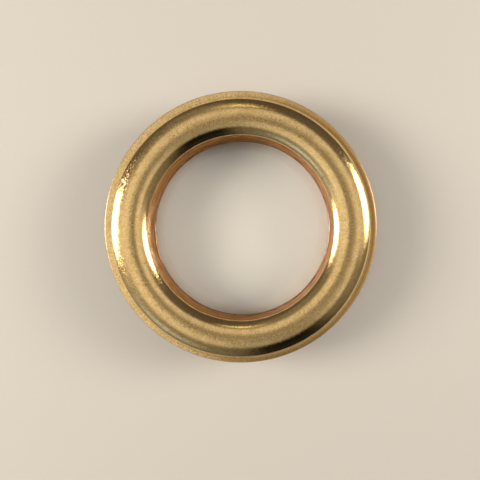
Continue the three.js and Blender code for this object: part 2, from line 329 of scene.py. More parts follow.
def upright_at(circle, angle):
    """The matrix that moves something to an upright line on a circle about the axis."""
    return Matrix.Translation(on_ring(circle, 0, math.radians(angle)))


def radially(angle, height):
    """The matrix that turns +Z to point away from the axis, at an angle and a height."""
    return (
        Matrix.Translation((0, 0, height))
        @ Matrix.Rotation(math.radians(angle), 4, "Z")
        @ Matrix.Rotation(math.radians(90), 4, "Y")
    )


def placed(piece, body, slot, *nodes):
    """Puts a piece on its body and hides the CAD nodes that it stands for. The slot is not used."""
    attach(piece, body)
    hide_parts(*nodes)
    return piece


# ---- shader nodes ------------------------------------------------------------------------------------------

class Nodes:
    """Short ways to add nodes to a tree. A value is a number, a colour, a vector or another node's output."""

    def __init__(self, tree):
        self.tree = tree

    def feed(self, value, socket):
        """Sets a socket to a plain value, or links it to an output."""
        if isinstance(value, (int, float, tuple)):
            socket.default_value = value
        else:
            self.tree.links.new(value, socket)

    def vector(self, operation, a, b=None, scale=None):
        """A vector operation on a and the vector b, or on a and a number."""
        node = self.tree.nodes.new("ShaderNodeVectorMath")
        node.operation = operation
        self.feed(a, node.inputs[0])
        if b is not None:
            self.feed(b, node.inputs[1])
        if scale is not None:
            self.feed(scale, node.inputs["Scale"])
        return node.outputs["Value" if operation in ("LENGTH", "DOT_PRODUCT") else "Vector"]

    def math(self, operation, a, b=0.0, clamp=False):
        """An operation on one or two numbers. A clamped result is held between 0 and 1."""
        node = self.tree.nodes.new("ShaderNodeMath")
        node.operation = operation
        node.use_clamp = clamp
        self.feed(a, node.inputs[0])
        self.feed(b, node.inputs[1])
        return node.outputs[0]

    def times(self, a, b):
        """One number times another."""
        return self.math("MULTIPLY", a, b)

    def total(self, base, *parts):
        """A number plus each (value, weight) part, held between 0 and 1."""
        for value, weight in parts:
            base = self.math("ADD", base, self.times(value, weight), clamp=True)
        return base

    def remap(self, value, low, high, to_low=0.0, to_high=1.0):
        """Goes smoothly from to_low to to_high while the value goes from low to high."""
        node = self.tree.nodes.new("ShaderNodeMapRange")
        node.interpolation_type = "SMOOTHSTEP"
        for name, number in (
            ("Value", value),
            ("From Min", low),
            ("From Max", high),
            ("To Min", to_low),
            ("To Max", to_high),
        ):
            self.feed(number, node.inputs[name])
        return node.outputs["Result"]

    def rise(self, value, edge, blur):
        """0 below an edge and 1 above it, blurred on each side."""
        return self.remap(value, edge - blur, edge + blur)

    def band(self, value, low, high, blur):
        """1 between low and high, and 0 elsewhere, blurred at both edges."""
        return self.times(self.rise(value, low, blur), self.remap(value, high - blur, high + blur, 1.0, 0.0))

    def mix(self, factor, a, b):
        """Goes from colour a to colour b as the factor goes from 0 to 1."""
        node = self.tree.nodes.new("ShaderNodeMix")
        node.data_type = "RGBA"
        for value, name in ((factor, "Factor"), (a, "A"), (b, "B")):
            socket = next(s for s in node.inputs if s.name == name and s.enabled)
            self.feed((*value, 1) if isinstance(value, tuple) else value, socket)
        return next(s for s in node.outputs if s.enabled)

    def layered(self, colour, *layers):
        """A colour under (where, how much, colour) layers, the last one on top."""
        for mask, amount, layer in layers:
            colour = self.mix(self.times(mask, amount), colour, layer)
        return colour


class Recipe(Nodes):
    """A material and its textures. Coordinates are object coordinates in millimetres."""

    def __init__(self, name):
        self.material = bpy.data.materials.new(name)
        self.material.use_nodes = True
        super().__init__(self.material.node_tree)
        self.shader = self.tree.nodes["Principled BSDF"]
        source = self.tree.nodes.new("ShaderNodeTexCoord").outputs["Object"]
        self.place = self.vector("SCALE", source, scale=1 / MM)

    def set(self, **values):
        """Sets what is the same all over the surface. An underscore in a name stands for a space."""
        for name, value in values.items():
            self.shader.inputs[name.replace("_", " ")].default_value = value

    def finish(self, colour, rough, normal=None):
        """Links the colour, the roughness and the normal, and gives the material."""
        self.feed(colour, self.shader.inputs["Base Color"])
        self.feed(rough, self.shader.inputs["Roughness"])
        if normal:
            self.feed(normal, self.shader.inputs["Normal"])
        return self.material

    def noise(self, scale, detail, rough=0.55, place=None, distortion=0.0):
        """Cloudy noise from 0 to 1, with a scale in waves for each millimetre."""
        node = self.tree.nodes.new("ShaderNodeTexNoise")
        for name, value in (
            ("Vector", place or self.place),
            ("Scale", scale),
            ("Detail", detail),
            ("Roughness", rough),
            ("Distortion", distortion),
        ):
            self.feed(value, node.inputs[name])
        return node.outputs["Fac"]

    def facets(self, scale):
        """A random colour for each small cell of the surface."""
        node = self.tree.nodes.new("ShaderNodeTexVoronoi")
        self.feed(self.place, node.inputs["Vector"])
        self.feed(scale, node.inputs["Scale"])
        return node.outputs["Color"]

    def tilted(self, colour, amount):
        """The surface normal, tilted in each cell by the cell's own colour."""
        aside = self.vector("SUBTRACT", colour, (0.5, 0.5, 0.5))
        normal = self.tree.nodes.new("ShaderNodeNewGeometry").outputs["Normal"]
        tilt = self.vector("SCALE", aside, scale=amount)
        return self.vector("NORMALIZE", self.vector("ADD", normal, tilt))

    def bump(self, height, distance, normal=None):
        """A normal from a height between 0 and 1, over a distance in millimetres."""
        node = self.tree.nodes.new("ShaderNodeBump")
        self.feed(distance * MM, node.inputs["Distance"])
        self.feed(height, node.inputs["Height"])
        if normal:
            self.feed(normal, node.inputs["Normal"])
        return node.outputs["Normal"]

    def radius(self, centre=(0, 0)):
        """Distance from the optical axis, or from an upright axis at another centre."""
        shifted = self.vector("SUBTRACT", self.place, (centre[0], centre[1], 0))
        return self.vector("LENGTH", self.vector("MULTIPLY", shifted, (1, 1, 0)))

    def height(self):
        """Height above the foot of the barrel."""
        return self.vector("DOT_PRODUCT", self.place, (0, 0, 1))

    def away(self):
        """The level unit vector that points away from the axis."""
        return self.vector("NORMALIZE", self.vector("MULTIPLY", self.place, (1, 1, 0)))

    def toward(self, azimuth):
        """The cosine of the angle between a point's azimuth and the one given."""
        return self.vector("DOT_PRODUCT", self.away(), on_ring(1, 0, math.radians(azimuth)))

    def radial(self, around, outwards):
        """Coordinates for streaks that run away from the axis: frequencies round the ring and outwards."""
        node = self.tree.nodes.new("ShaderNodeCombineXYZ")
        self.feed(self.times(self.radius(), outwards), node.inputs["Z"])
        ring = self.vector("SCALE", self.away(), scale=around * CREST_RADIUS)
        return self.vector("ADD", ring, node.outputs["Vector"])

    def turned(self, along, up):
        """Coordinates for lines that run round the axis: frequencies in the level plane and upwards."""
        return self.vector("MULTIPLY", self.place, (along, along, up))


# ---- materials ---------------------------------------------------------------------------------------------

BRASS_GOLD = (0.88, 0.60, 0.245)
BRASS_PEACH = (0.90, 0.575, 0.26)
BRASS_OLIVE = (0.60, 0.395, 0.15)
# painted shade: the flange's face is darker towards one azimuth, standing in for the dim room it reflects
# there
BRASS_PAINTED_SHADE = (0.60, 0.30, 0.085)
BRASS_DARK = (0.20, 0.12, 0.045)
# the flange's rim: a rubbed edge, and a painted highlight that is lighter all round
BRASS_WORN_AND_SHEEN = (0.98, 0.76, 0.48)
# painted sheen: the inner shoulder lighter towards one azimuth, standing in for a bright reflection there
BRASS_PAINTED_SHEEN = (0.98, 0.70, 0.33)

# painted reflection in the bore: the red-brown of a wood table, lighter where painted light falls towards two
# sides, with painted shade at the lip
BORE_REFLECTION_DIM = (0.58, 0.32, 0.13)
BORE_REFLECTION_LIT = (0.92, 0.62, 0.38)
BORE_STAIN = (0.50, 0.27, 0.11)
BORE_LIP_SHADE = (0.30, 0.155, 0.055)
BORE_REFLECTION_TINT = (0.86, 0.58, 0.38, 1)
BARREL_GOLD = (0.83, 0.56, 0.24)
BARREL_STAIN = (0.66, 0.42, 0.18)
TOOL_MARK = (0.36, 0.19, 0.07)

BRONZE = (0.66, 0.40, 0.20)
BRONZE_HEATED = (0.47, 0.25, 0.12)
BRONZE_BRUSHED = (0.26, 0.13, 0.06)
STEEL = (0.56, 0.56, 0.55)
STEEL_STAIN = (0.30, 0.27, 0.23)
STEEL_GRAIN = (0.15, 0.13, 0.11)
GLASS_CLEAR = (0.985, 0.995, 0.99)
GLASS_DUST = (0.96, 0.965, 0.955)
GROUND_PALE = (0.86, 0.88, 0.87)
GROUND_GREY = (0.7, 0.72, 0.71)
FELT_DARK = (0.018, 0.034, 0.020)
FELT_PALE = (0.06, 0.09, 0.055)
FELT_TUFT = (0.03, 0.05, 0.03)
PAPER_DARK = (0.012, 0.011, 0.010)
PAPER_PALE = (0.03, 0.028, 0.026)
FLOOR_DARK = (0.48, 0.43, 0.37)
FLOOR_PALE = (0.50, 0.45, 0.39)

GLASS_INDEX = 1.52

# the zones of the stamped brass, from the axis outwards
HOLLOW_START, HOLLOW_END = CREST_RADIUS - 2, CREST_RADIUS - 3
CREST_START, CREST_END = CREST_RADIUS - 1.4, CREST_RADIUS + 0.7
CREST_BLUR = 0.5
SHOULDER_START, SHOULDER_END = CREST_RADIUS + 2.2, DOME_FOOT_RADIUS + 0.3
SHOULDER_BLUR = 0.4
FACE_START, FACE_END = DOME_FOOT_RADIUS + 0.1, DOME_FOOT_RADIUS + 0.9
RIM_START, RIM_END = FLANGE_RADIUS - 0.34, FLANGE_RADIUS - 0.16
# the heights over which the shoulder's zone begins
RAISED_START, RAISED_END = FLANGE_TOP + 0.1, FLANGE_TOP + 0.5

# glitter beside the highlights: (zone, azimuth, cosines from it where it begins and is full, strength)
GLITTER = [
    ("shoulder", 145, 0.88, 0.99, 1.0),
    ("shoulder", 33, 0.97, 1.0, 0.8),
    ("shoulder", 204, 0.95, 1.0, 0.6),
    ("hollow", 212, 0.96, 1.0, 0.7),
]
# the azimuth towards which the inner shoulder has a painted sheen
PAINTED_SHEEN_AZIMUTH = 50
# the azimuth towards which the flange's face has painted shade
PAINTED_SHADE_AZIMUTH = 345

# painted shade on the bore's lip, which darkens upwards over these heights except near one line through the
# axis
LIP_SHADE_START, LIP_SHADE_END = BARREL_TOP - 1.4, BARREL_TOP - 0.1
LIP_LIGHT_AZIMUTH = 5
# the azimuths towards which the bore's painted reflection is lit
BORE_RIGHT_AZIMUTH = 350
BORE_LEFT_AZIMUTH = 187
BORE_BLUR = 0.6


def brass_zones(r):
    """Soft masks for the zones of the stamped brass, each from 0 to 1."""
    radius = r.radius()
    crest = r.band(radius, CREST_START, CREST_END, CREST_BLUR)
    shoulder = r.band(radius, SHOULDER_START, SHOULDER_END, SHOULDER_BLUR)
    zones = SimpleNamespace(
        crest=r.times(crest, r.remap(r.noise(scale=0.22, detail=2), 0.3, 0.6, 0.35, 1.0)),
        shoulder=r.times(shoulder, r.remap(r.height(), RAISED_START, RAISED_END)),
        hollow=r.remap(radius, HOLLOW_START, HOLLOW_END),
        face=r.remap(radius, FACE_START, FACE_END),
        rim=r.remap(r.radius(FLANGE_CENTRE), RIM_START, RIM_END),
        glitter=0.0,
    )
    for name, azimuth, low, high, strength in GLITTER:
        spot = r.times(getattr(zones, name), r.remap(r.toward(azimuth), low, high, 0.0, strength))
        zones.glitter = r.math("MAXIMUM", spot, zones.glitter)
    return zones


def satin_brass():
    """Lightly tarnished stamped brass: mottled, with a sandy crest, glitter, radial strokes and pits, and
    painted light: shade on one side of the flange's face, a sheen on one side of the inner shoulder, and a
    highlight on the rim.
    """
    r = Recipe("satin_brass")
    r.set(Metallic=1.0)
    zones = brass_zones(r)
    cells = r.facets(scale=6.0)
    patches = r.remap(r.noise(scale=0.3, detail=4), 0.4, 0.64)
    sand = r.noise(scale=2.0, detail=2, rough=0.8)
    streaks = r.noise(scale=1.0, detail=2, rough=0.6, place=r.radial(around=2.2, outwards=0.35))
    scratches = r.noise(scale=1.0, detail=2, rough=0.5, place=r.radial(around=1.5, outwards=0.55))
    pits = r.remap(r.noise(scale=1.6, detail=2, rough=0.5), 0.71, 0.78)
    strokes = r.times(r.remap(scratches, 0.68, 0.77), 0.42)
    marks = r.math("MAXIMUM", strokes, r.times(pits, 0.5))
    # painted shade: the flange's face darker towards one azimuth, for the dim room it reflects there
    bronze = r.times(zones.face, r.remap(r.toward(PAINTED_SHADE_AZIMUTH), -0.4, 0.6))
    # painted sheen: the inner shoulder lighter towards one azimuth, standing in for a bright reflection there
    polished = r.times(zones.hollow, r.remap(r.toward(PAINTED_SHEEN_AZIMUTH), 0.7, 0.97))
    sandy = r.times(zones.crest, r.remap(sand, 0.35, 0.65, 0.25, 1.0))
    flecks = r.remap(r.vector("DOT_PRODUCT", cells, (1, 0, 0)), 0.3, 1.0)
    fleck_depth = r.total(0.32, (zones.crest, 0.14), (zones.face, 0.14), (zones.glitter, 0.4))
    colour = r.layered(
        BRASS_GOLD,
        (r.remap(streaks, 0.35, 0.65), 1.0, BRASS_PEACH),
        (patches, 0.3, BRASS_OLIVE),
        (bronze, 0.95, BRASS_PAINTED_SHADE),
        (polished, 0.8, BRASS_PAINTED_SHEEN),
        (sandy, 0.95, BRASS_OLIVE),
        (flecks, fleck_depth, BRASS_DARK),
        # rubbed edge and painted highlight on the flange's rim
        (zones.rim, 0.35, BRASS_WORN_AND_SHEEN),
        (marks, 1.0, BRASS_DARK),
    )
    rough = r.total(r.remap(patches, 0.0, 1.0, 0.09, 0.13), (zones.rim, 0.12), (zones.crest, 0.09))
    restless = r.math("MAXIMUM", zones.shoulder, zones.face)
    tilt = r.total(0.036, (zones.glitter, 0.12), (zones.crest, 0.055), (restless, 0.03))
    brushed = r.bump(streaks, 0.009, r.tilted(cells, tilt))
    return r.finish(colour, rough, r.bump(r.times(sand, zones.crest), 0.02, brushed))


def turned_brass():
    """Turned and polished brass with fine tool rings round the axis, redder where it lines the bore: there
    its colour is a painted reflection, lighter towards two sides, with painted shade at the lip.
    """
    r = Recipe("turned_brass")
    # the specular tint paints the red-brown reflection into the bore's grazing reflections
    r.set(Metallic=1.0, Specular_Tint=BORE_REFLECTION_TINT)
    rings = r.noise(scale=1.0, detail=3, rough=0.6, place=r.turned(along=0.04, up=9.0))
    patches = r.remap(r.noise(scale=0.3, detail=4), 0.4, 0.7)
    # painted light in the bore's reflection, towards its right and its left
    right = r.remap(r.toward(BORE_RIGHT_AZIMUTH), 0.2, 1.0)
    left = r.remap(r.toward(BORE_LEFT_AZIMUTH), 0.75, 1.0, 0.0, 0.6)
    # painted shade on the bore's lip, lighter near one line through the axis
    across = r.math("ABSOLUTE", r.toward(LIP_LIGHT_AZIMUTH))
    lip = r.times(r.remap(r.height(), LIP_SHADE_START, LIP_SHADE_END), r.remap(across, 0.55, 0.9, 0.7, 0.0))
    bore = r.layered(BORE_REFLECTION_DIM, (r.math("MAXIMUM", right, left), 1.0, BORE_REFLECTION_LIT), (patches, 1.0, BORE_STAIN))
    colour = r.layered(
        bore,
        (r.remap(r.radius(), RETAINER_RADIUS, RETAINER_RADIUS + BORE_BLUR), 1.0,
         r.mix(patches, BARREL_GOLD, BARREL_STAIN)),
        (lip, 1.0, BORE_LIP_SHADE),
        (r.remap(rings, 0.45, 0.7), 0.3, TOOL_MARK),
    )
    return r.finish(colour, r.remap(rings, 0.3, 0.7, 0.1, 0.2), r.bump(rings, 0.008))


def spring_bronze():
    """Rolled spring bronze, brushed lengthways round the barrel."""
    r = Recipe("spring_bronze")
    r.set(Metallic=1.0)
    brushing = r.noise(scale=1.2, detail=4, rough=0.65, place=r.turned(along=0.15, up=8.0))
    heat = r.remap(r.noise(scale=0.25, detail=3), 0.4, 0.65)
    lines = r.remap(brushing, 0.5, 0.75)
    colour = r.layered(BRONZE, (heat, 1.0, BRONZE_HEATED), (lines, 0.5, BRONZE_BRUSHED))
    return r.finish(colour, r.remap(brushing, 0.3, 0.7, 0.2, 0.36), r.bump(brushing, 0.01))


def screw_steel():
    """Plain steel screws, slightly worn and stained."""
    r = Recipe("screw_steel")
    r.set(Metallic=1.0)
    stain = r.remap(r.noise(scale=1.6, detail=4), 0.45, 0.7)
    grain = r.noise(scale=9.0, detail=2)
    colour = r.layered(STEEL, (stain, 1.0, STEEL_STAIN), (r.remap(grain, 0.5, 0.8), 0.3, STEEL_GRAIN))
    return r.finish(colour, r.remap(stain, 0.0, 1.0, 0.22, 0.42), r.bump(grain, 0.008))


def lens_glass():
    """Clear crown glass with the faintest dust in its roughness."""
    r = Recipe("lens_glass")
    r.set(Transmission_Weight=1.0, IOR=GLASS_INDEX)
    dust = r.remap(r.noise(scale=1.5, detail=5, rough=0.7), 0.62, 0.8)
    return r.finish(r.mix(dust, GLASS_CLEAR, GLASS_DUST), r.remap(dust, 0.0, 1.0, 0.0, 0.05))


def ground_glass():
    """The frosted edge of the lens."""
    r = Recipe("ground_glass")
    r.set(Transmission_Weight=0.6, IOR=GLASS_INDEX)
    grit = r.noise(scale=6.0, detail=3)
    rough = r.remap(grit, 0.3, 0.7, 0.5, 0.7)
    return r.finish(r.mix(grit, GROUND_PALE, GROUND_GREY), rough, r.bump(grit, 0.02))


def green_felt():
    """Pressed wool felt."""
    r = Recipe("green_felt")
    r.set(Sheen_Weight=0.4, Sheen_Roughness=0.5)
    fibres = r.noise(scale=5.0, detail=5, rough=0.75, distortion=1.5)
    tufts = r.remap(r.noise(scale=1.4, detail=3), 0.4, 0.7)
    colour = r.layered(FELT_DARK, (r.remap(fibres, 0.35, 0.65), 1.0, FELT_PALE), (tufts, 0.5, FELT_TUFT))
    return r.finish(colour, r.remap(fibres, 0.3, 0.7, 0.85, 1.0), r.bump(fibres, 0.12))


def black_paper():
    """Matt black paper."""
    r = Recipe("black_paper")
    fibres = r.noise(scale=7.0, detail=4, rough=0.7)
    rough = r.remap(fibres, 0.3, 0.7, 0.8, 0.95)
    return r.finish(r.mix(fibres, PAPER_DARK, PAPER_PALE), rough, r.bump(fibres, 0.03))


def pale_floor():
    """A plain pale tabletop with a barely visible tooth."""
    r = Recipe("pale_floor")
    tooth = r.noise(scale=0.8, detail=4)
    rough = r.remap(tooth, 0.3, 0.7, 0.55, 0.65)
    return r.finish(r.mix(tooth, FLOOR_DARK, FLOOR_PALE), rough, r.bump(tooth, 0.01))


SATIN_BRASS = satin_brass()
TURNED_BRASS = turned_brass()
SPRING_BRONZE = spring_bronze()
SCREW_STEEL = screw_steel()
LENS_GLASS = lens_glass()
GROUND_GLASS = ground_glass()
GREEN_FELT = green_felt()
BLACK_PAPER = black_paper()


# ---- pieces ------------------------------------------------------------------------------------------------

def half_crown(side, edge_radius, crown_radius, corner_radius, shrink, steps):
    """One side of the dome's section, from the crest to its upright edge, all offset inwards by shrink.

    The crown is an arc about a point under the crest. It runs into the corner where the two arcs touch.
    """
    span = crown_radius - corner_radius
    turn = math.asin((abs(edge_radius - CREST_RADIUS) - corner_radius) / span)
    centre = (CREST_RADIUS, CREST_HEIGHT - crown_radius)
    corner = (centre[0] + side * span * math.sin(turn), centre[1] + span * math.cos(turn))
    wide, tight = crown_radius - shrink, corner_radius - shrink
    crest, bend, upright = 90, 90 - side * math.degrees(turn), 90 - side * 90
    return [
        *arc(centre, wide, wide, crest, bend, 3 * steps),
        *arc(corner, tight, tight, bend, upright, steps)[1:],
    ]


def crown(shrink, steps):
    """The dome's section from foot to lip: a wide crown between two tight corners."""
    outer = half_crown(1, DOME_FOOT_RADIUS, OUTER_CROWN, OUTER_CORNER, shrink, steps)
    inner = half_crown(-1, BORE_RADIUS, INNER_CROWN, INNER_CORNER, shrink, steps)
    return [*reversed(outer), *inner[1:]]


def lean(turn):
    """How far a turn in radians points to where the bezel leans: from 1 there to -1 opposite."""
    return math.cos(turn - math.radians(LEAN_ANGLE))


def hand_spun(radius, height, turn):
    """A point of the bezel, off centre towards its foot and its lip, and a little uneven all round."""
    outwards = min(max((radius - CREST_RADIUS) / (DOME_FOOT_RADIUS - CREST_RADIUS), 0), 1)
    inwards = min(max((CREST_RADIUS - radius) / (CREST_RADIUS - BORE_RADIUS), 0), 1)
    sway = SLOW_SWAY * math.sin(SLOW_WAVES * turn + SLOW_PHASE)
    sway += QUICK_SWAY * math.sin(QUICK_WAVES * turn + radius)
    shift = outwards * FOOT_LEAN * lean(turn) + inwards * (LIP_FLARE + LIP_LEAN * lean(turn))
    return on_ring(radius + sway + shift, height, turn)


def bezel_shell():
    """The domed shell, with a small flare at its foot on to the flange."""
    skirt = BARREL_TOP + SKIRT_GAP
    outline = [
        *[(DOME_FOOT_RADIUS + out, FLANGE_TOP + up) for out, up in FOOT_FLARE],
        *crown(0, CORNER_STEPS),
        (BORE_RADIUS, skirt),
        (BORE_RADIUS + SHELL, skirt),
        *reversed(crown(SHELL, CORNER_STEPS // 2)),
        (DOME_FOOT_RADIUS - SHELL, FLANGE_TOP + FOOT_GAP),
    ]
    piece = revolved("bezel_shell", outline, SATIN_BRASS, BRASS_STEPS, hand_spun)
    return placed(piece, "mount", "satin_brass", "domed_bezel")


def screw_sink(angle):
    """A cutter for one countersunk hole in the flange."""
    head, shank = FLANGE_SCREW_HEAD + CLEARANCE, FLANGE_SCREW_SHANK + CLEARANCE
    cutter = revolved("cutter", [
        (0, FLANGE_BOTTOM - OVERCUT),
        (head, FLANGE_BOTTOM - OVERCUT),
        (head, FLANGE_BOTTOM),
        (shank, FLANGE_BOTTOM + COUNTERSINK_DEPTH),
        (shank, FLANGE_TOP + OVERCUT),
        (0, FLANGE_TOP + OVERCUT),
    ], TURNED_BRASS, HOLE_STEPS)
    return moved(cutter, upright_at(FLANGE_SCREW_CIRCLE, angle))


def tilted_flange(radius, height, turn):
    """A point of the flange, off centre towards its edge, and tilted by a slope that changes round it."""
    share = (radius - FLANGE_HOLE) / (FLANGE_RADIUS - FLANGE_HOLE)
    slope = FLANGE_SLOPE + FLANGE_LEAN * math.cos(turn - math.radians(FLANGE_LEAN_ANGLE))
    past_foot = max(radius - DOME_FOOT_RADIUS - FOOT_FLARE[0][0], 0)
    drop = past_foot * math.tan(math.radians(slope))
    if height > FLANGE_CENTRE.z:
        past_bevel = max(radius - FLANGE_RADIUS + FLANGE_BEVEL, 0)
        drop += past_bevel * math.tan(math.radians(FLANGE_BEVEL_SLOPE - slope))
    x, y, z = on_ring(radius, height, turn)
    return (x + FLANGE_CENTRE.x * share, y + FLANGE_CENTRE.y * share, z - drop)


def flange_plate():
    """The thin stop flange with its countersunk holes, bevelled at its edge."""
    outline = rounded([
        (FLANGE_HOLE, FLANGE_BOTTOM, FLANGE_INNER_EDGE),
        (FLANGE_RADIUS, FLANGE_BOTTOM, FLANGE_LOWER_EDGE),
        (FLANGE_RADIUS, FLANGE_TOP, FLANGE_UPPER_EDGE),
        (FLANGE_RADIUS - FLANGE_BEVEL, FLANGE_TOP, 0),
        (DOME_FOOT_RADIUS + FLANGE_SEAT, FLANGE_TOP, FLANGE_SEAT_EDGE),
        (FLANGE_HOLE, FLANGE_TOP, FLANGE_INNER_EDGE),
    ], FLANGE_FILLET_STEPS)
    piece = revolved("flange_plate", outline, SATIN_BRASS, BRASS_STEPS, tilted_flange)
    subtract(piece, [screw_sink(angle) for angle in FLANGE_SCREW_ANGLES])
    return placed(piece, "mount", "satin_brass", "stop_flange")


def threaded(radius, height, turn):
    """A point of the barrel, moved outwards where it is in the thread or in the bore's flared lip."""
    if abs(radius - CELL_RADIUS) < SAME_RADIUS and 0 < height <= THREAD_TOP:
        phase = (height / THREAD_PITCH - turn / (2 * math.pi)) % 1
        fade = min((THREAD_TOP - height) / THREAD_RUN_OUT, 1)
        radius += THREAD_DEPTH * (1 - abs(2 * phase - 1)) * fade
    depth = (BARREL_TOP - height) / LIP_FLARE_DEPTH
    if abs(radius - BORE_RADIUS) < SAME_RADIUS and depth < 1:
        radius += (LIP_FLARE + LIP_LEAN * lean(turn)) * (1 - depth) ** 2
    return on_ring(radius, height, turn)


def barrel_tube():
    """The stepped tube: polished bore above the seat, and a threaded cell below it."""
    steps = round(THREAD_TOP / THREAD_PITCH * THREAD_STEPS)
    outline = [
        *rounded([
            (CELL_RADIUS + CELL_EDGE, 0, 0),
            (BARREL_RADIUS, 0, BARREL_CHAMFER),
            (BARREL_RADIUS, BARREL_TOP, 0),
            *[(BORE_RADIUS, BARREL_TOP - LIP_FLARE_DEPTH * i / LIP_STEPS, 0) for i in range(LIP_STEPS + 1)],
            (BORE_RADIUS, SEAT_HEIGHT, SEAT_EDGE),
            (CELL_RADIUS, SEAT_HEIGHT, SEAT_CORNER),
        ]),
        *[(CELL_RADIUS, THREAD_TOP * (1 - i / steps)) for i in range(steps)],
    ]
    piece = revolved("barrel_tube", outline, TURNED_BRASS, RING_STEPS, threaded, THREAD_SHARP_ANGLE)
    return placed(piece, "mount", "turned_brass", "lens_barrel")


def retainer():
    """The threaded ring behind the glass. One bar, centred on its lower face, cuts both spanner notches."""
    low, high = RETAINER_LOW.z, RETAINER_HIGH.z
    outline = rounded([
        (BORE_RADIUS, low, RETAINER_INNER_EDGE),
        (RETAINER_RADIUS, low, RETAINER_EDGE),
        (RETAINER_RADIUS, high, RETAINER_EDGE),
        (BORE_RADIUS, high, RETAINER_EDGE),
    ])
    piece = revolved("spanner_ring", outline, TURNED_BRASS)
    subtract(piece, [block((3 * BORE_RADIUS, NOTCH_WIDTH, 2 * NOTCH_DEPTH), (0, 0, low))])
    return placed(piece, "retainer", "turned_brass", "retaining_ring")


def sag(curve, radius):
    """How far a sphere falls away at a radius from its top."""
    return curve - math.sqrt(curve ** 2 - radius ** 2)


def lens_face(rim_height, curve):
    """Points on a lens face from the axis to its ground edge. The face curves down from its middle."""
    edge = GLASS_RADIUS - GROUND_WIDTH
    middle = rim_height + sag(curve, GLASS_RADIUS)
    points = []
    for i in range(GLASS_ROWS + 1):
        radius = edge * i / GLASS_ROWS
        points.append((radius, middle - sag(curve, radius)))
    return points


def meniscus():
    """The lens: polished front and rear, with a ground edge between two small bevels."""
    outline = [
        *lens_face(GLASS_RIM_BOTTOM, REAR_CURVE_RADIUS),
        (GLASS_RADIUS, GLASS_RIM_BOTTOM + GROUND_BEVEL),
        (GLASS_RADIUS, GLASS_RIM_TOP - GROUND_BEVEL),
        *reversed(lens_face(GLASS_RIM_TOP, FRONT_CURVE_RADIUS)),
    ]
    piece = revolved("meniscus", outline, LENS_GLASS, GLASS_STEPS)
    piece.data.materials.append(GROUND_GLASS)
    for face in piece.data.polygons:
        if math.hypot(face.center.x, face.center.y) > (GLASS_RADIUS - GROUND_WIDTH) * MM:
            face.material_index = 1
    # the lens casts no shadow, so that the table under the bore is lit as it is through real glass
    piece.visible_shadow = False
    return placed(piece, "glass", "lens_glass", "portrait_lens")


def fuzzy(radius, height, turn):
    """A point of the felt, with an uneven surface that is flat where it lies against the flange."""
    at = Vector(on_ring(radius, height, turn))
    lump = sum(noise.noise(at * frequency) * size for frequency, size in FELT_LUMPS)
    return (at.x * (1 + lump / radius), at.y * (1 + lump / radius), height + lump * (FELT_HIGH.z - height))


def felt():
    """The felt washer, with an uneven pressed surface."""
    outline = rounded([
        (FELT_INNER_RADIUS, FELT_LOW.z, FELT_INNER_EDGE),
        (FELT_HIGH.x, FELT_LOW.z, FELT_OUTER_EDGE),
        (FELT_HIGH.x, FELT_HIGH.z, FELT_UPPER_EDGE),
        (FELT_INNER_RADIUS, FELT_HIGH.z, FELT_UPPER_EDGE),
    ], FELT_FILLET_STEPS)
    piece = revolved("felt_pad", outline, GREEN_FELT, FELT_STEPS, fuzzy, NOTHING_SHARP)
    return placed(piece, "mount", "green_felt", "felt_washer")


def flange_screw(index, angle):
    """A countersunk screw from below, just under the flange's face, with a slot."""
    low = FLANGE_BOTTOM
    piece = revolved(f"flange_screw_head_{index}", [
        (0, low + FLANGE_SCREW_SINK),
        (FLANGE_SCREW_HEAD - FLANGE_SCREW_CHAMFER, low + FLANGE_SCREW_SINK),
        (FLANGE_SCREW_HEAD, low + FLANGE_SCREW_CHAMFER_END),
        (FLANGE_SCREW_SHANK, low + FLANGE_SCREW_HEAD_HEIGHT),
        (FLANGE_SCREW_SHANK, low + FLANGE_SCREW_LENGTH),
        (0, low + FLANGE_SCREW_LENGTH),
    ], SCREW_STEEL, SCREW_STEPS)
    subtract(piece, [block(FLANGE_SLOT, (0, 0, low), FLANGE_SLOT_FIRST_ANGLE + FLANGE_SLOT_STEP * index)])
    moved(piece, upright_at(FLANGE_SCREW_CIRCLE, angle))
    return placed(piece, "mount", "screw_steel", f"flange_screw_{index}")


def spring_radius(angle):
    """The spring's middle radius at an angle past its screws: bowed outwards, with its tip curled in."""
    along = max(angle, 0) / SPRING_ARM_ANGLE
    bow = 1 - SPRING_TIP_SHARE
    bulge = SPRING_BULGE * (1 - math.cos(math.pi * min(along / bow, 1))) / 2
    curl = SPRING_TIP_CURL * max((along - bow) / SPRING_TIP_SHARE, 0) ** 2
    return SPRING_PAD_RADIUS + bulge - curl


def spring_points(angle):
    """The inner and outer grids of points of one spring, closer together towards its round ends."""
    middle = (SPRING_LOW.z + SPRING_HIGH.z) / 2
    half = (SPRING_HIGH.z - SPRING_LOW.z) / 2
    span = SPRING_ARM_ANGLE + SPRING_TAIL_ANGLE
    points = []
    for side in (-1, 1):
        for i in range(SPRING_COLUMNS + 1):
            share = (1 - math.cos(math.pi * i / SPRING_COLUMNS)) / 2
            local = span * share - SPRING_TAIL_ANGLE
            from_end = min(share, 1 - share) * math.radians(span) * SPRING_PAD_RADIUS
            short = min(max(SPRING_CORNER - from_end, 0) / SPRING_CORNER, SPRING_CORNER_END)
            reach = half - SPRING_CORNER * (1 - math.sqrt(1 - short ** 2))
            radius = spring_radius(local) + side * SPRING_THICKNESS / 2
            for k in range(SPRING_ROWS + 1):
                height = middle + reach * (2 * k / SPRING_ROWS - 1)
                points.append(on_ring(radius, height, math.radians(local + angle)))
    return points


